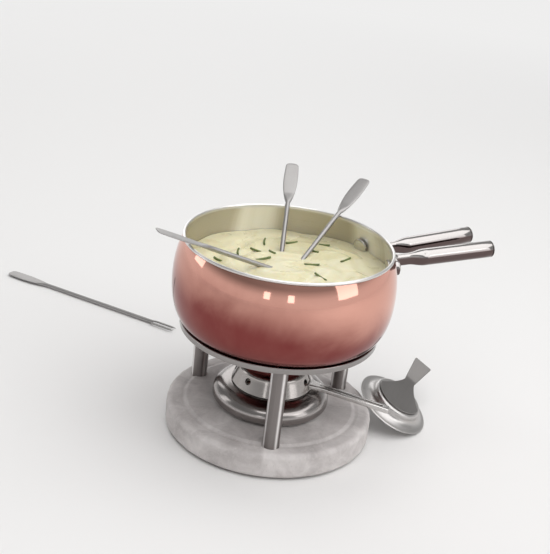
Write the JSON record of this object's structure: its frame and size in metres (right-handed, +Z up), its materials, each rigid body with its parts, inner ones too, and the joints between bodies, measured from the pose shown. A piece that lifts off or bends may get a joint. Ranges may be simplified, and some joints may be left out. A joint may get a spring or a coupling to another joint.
{
  "type": "fondue pot set",
  "caption": "Copper fondue pot with a twin-tube steel handle on a stone-footed stand, with a regulated fuel burner, its snuffer lid and long two-tined forks.",
  "frame": {"origin": "centre of the stand's felt pad on the table, on the axis of pot, ring and burner", "axes": "+Z up along the pot's axis, +X to the right of the person at the table, on the handle's side, -Y towards that person"},
  "size_m": [0.5052, 0.3953, 0.2173],
  "materials": {
    "copper": "mirror-polished copper",
    "polished_steel": "polished stainless steel",
    "satin_steel": "satin stainless steel",
    "stone": "matt, fine mottled grain",
    "felt": "felt",
    "wick": "mineral wool"
  },
  "bodies": {
    "stand": {"base_pad": "felt", "stone_base": "stone", "leg_1": "polished_steel", "leg_2": "polished_steel", "leg_3": "polished_steel", "base_screw_1": "satin_steel", "base_screw_2": "satin_steel", "base_screw_3": "satin_steel", "stand_ring": "polished_steel", "ring_screw_1": "satin_steel", "ring_screw_2": "satin_steel", "ring_screw_3": "satin_steel"},
    "pot": {"pot_shell": "copper", "pot_liner": "satin_steel", "handle_tube_back": "polished_steel", "handle_tube_front": "polished_steel", "handle_end_cap_back": "polished_steel", "handle_end_cap_front": "polished_steel", "handle_rivet_back": "satin_steel", "handle_rivet_front": "satin_steel"},
    "burner": {"burner_body": "polished_steel"},
    "fuel_insert": {"fuel_cup": "satin_steel", "wick_pad": "wick", "wick_gauze": "satin_steel", "air_collar": "satin_steel"},
    "regulator": {"regulator_cover": "polished_steel", "regulator_handle": "polished_steel"},
    "snuffer": {"snuffer_cap": "satin_steel", "snuffer_plate": "satin_steel"},
    "back_fork": {"fork_back": "satin_steel"},
    "left_fork": {"fork_left": "satin_steel"},
    "right_fork": {"fork_right": "satin_steel"},
    "table_fork": {"fork_table": "satin_steel"}
  },
  "joints": [
    {"name": "pot_lift", "type": "slide", "parent": "stand", "child": "pot", "axis": [0, 0, 1], "range_m": [0, 0.12]},
    {"name": "back_fork_draw", "type": "slide", "parent": "pot", "child": "back_fork", "axis": [0.0616, 0.8808, 0.4695], "range_m": [0, 0.2]},
    {"name": "left_fork_draw", "type": "slide", "parent": "pot", "child": "left_fork", "axis": [-0.8802, -0.3204, 0.3502], "range_m": [0, 0.22]},
    {"name": "right_fork_draw", "type": "slide", "parent": "pot", "child": "right_fork", "axis": [0.4788, 0.7662, 0.4285], "range_m": [0, 0.2]},
    {"name": "table_fork_lift", "type": "slide", "parent": "stand", "child": "table_fork", "axis": [0, 0, 1], "range_m": [0, 0.15]},
    {"name": "burner_draw", "type": "slide", "parent": "stand", "child": "burner", "axis": [0.8111, -0.585, 0], "range_m": [0, 0.155]},
    {"name": "fuel_insert_lift", "type": "slide", "parent": "burner", "child": "fuel_insert", "axis": [0, 0, 1], "range_m": [0, 0.025]},
    {"name": "regulator_turn", "type": "hinge", "parent": "fuel_insert", "child": "regulator", "pos_m": [0, 0, 0.048], "axis": [0, 0, 1], "range_deg": [-25.7, 0]},
    {"name": "snuffer_lift", "type": "slide", "parent": "stand", "child": "snuffer", "axis": [0.7647, -0.2936, 0.5736], "range_m": [0, 0.18]}
  ]
}
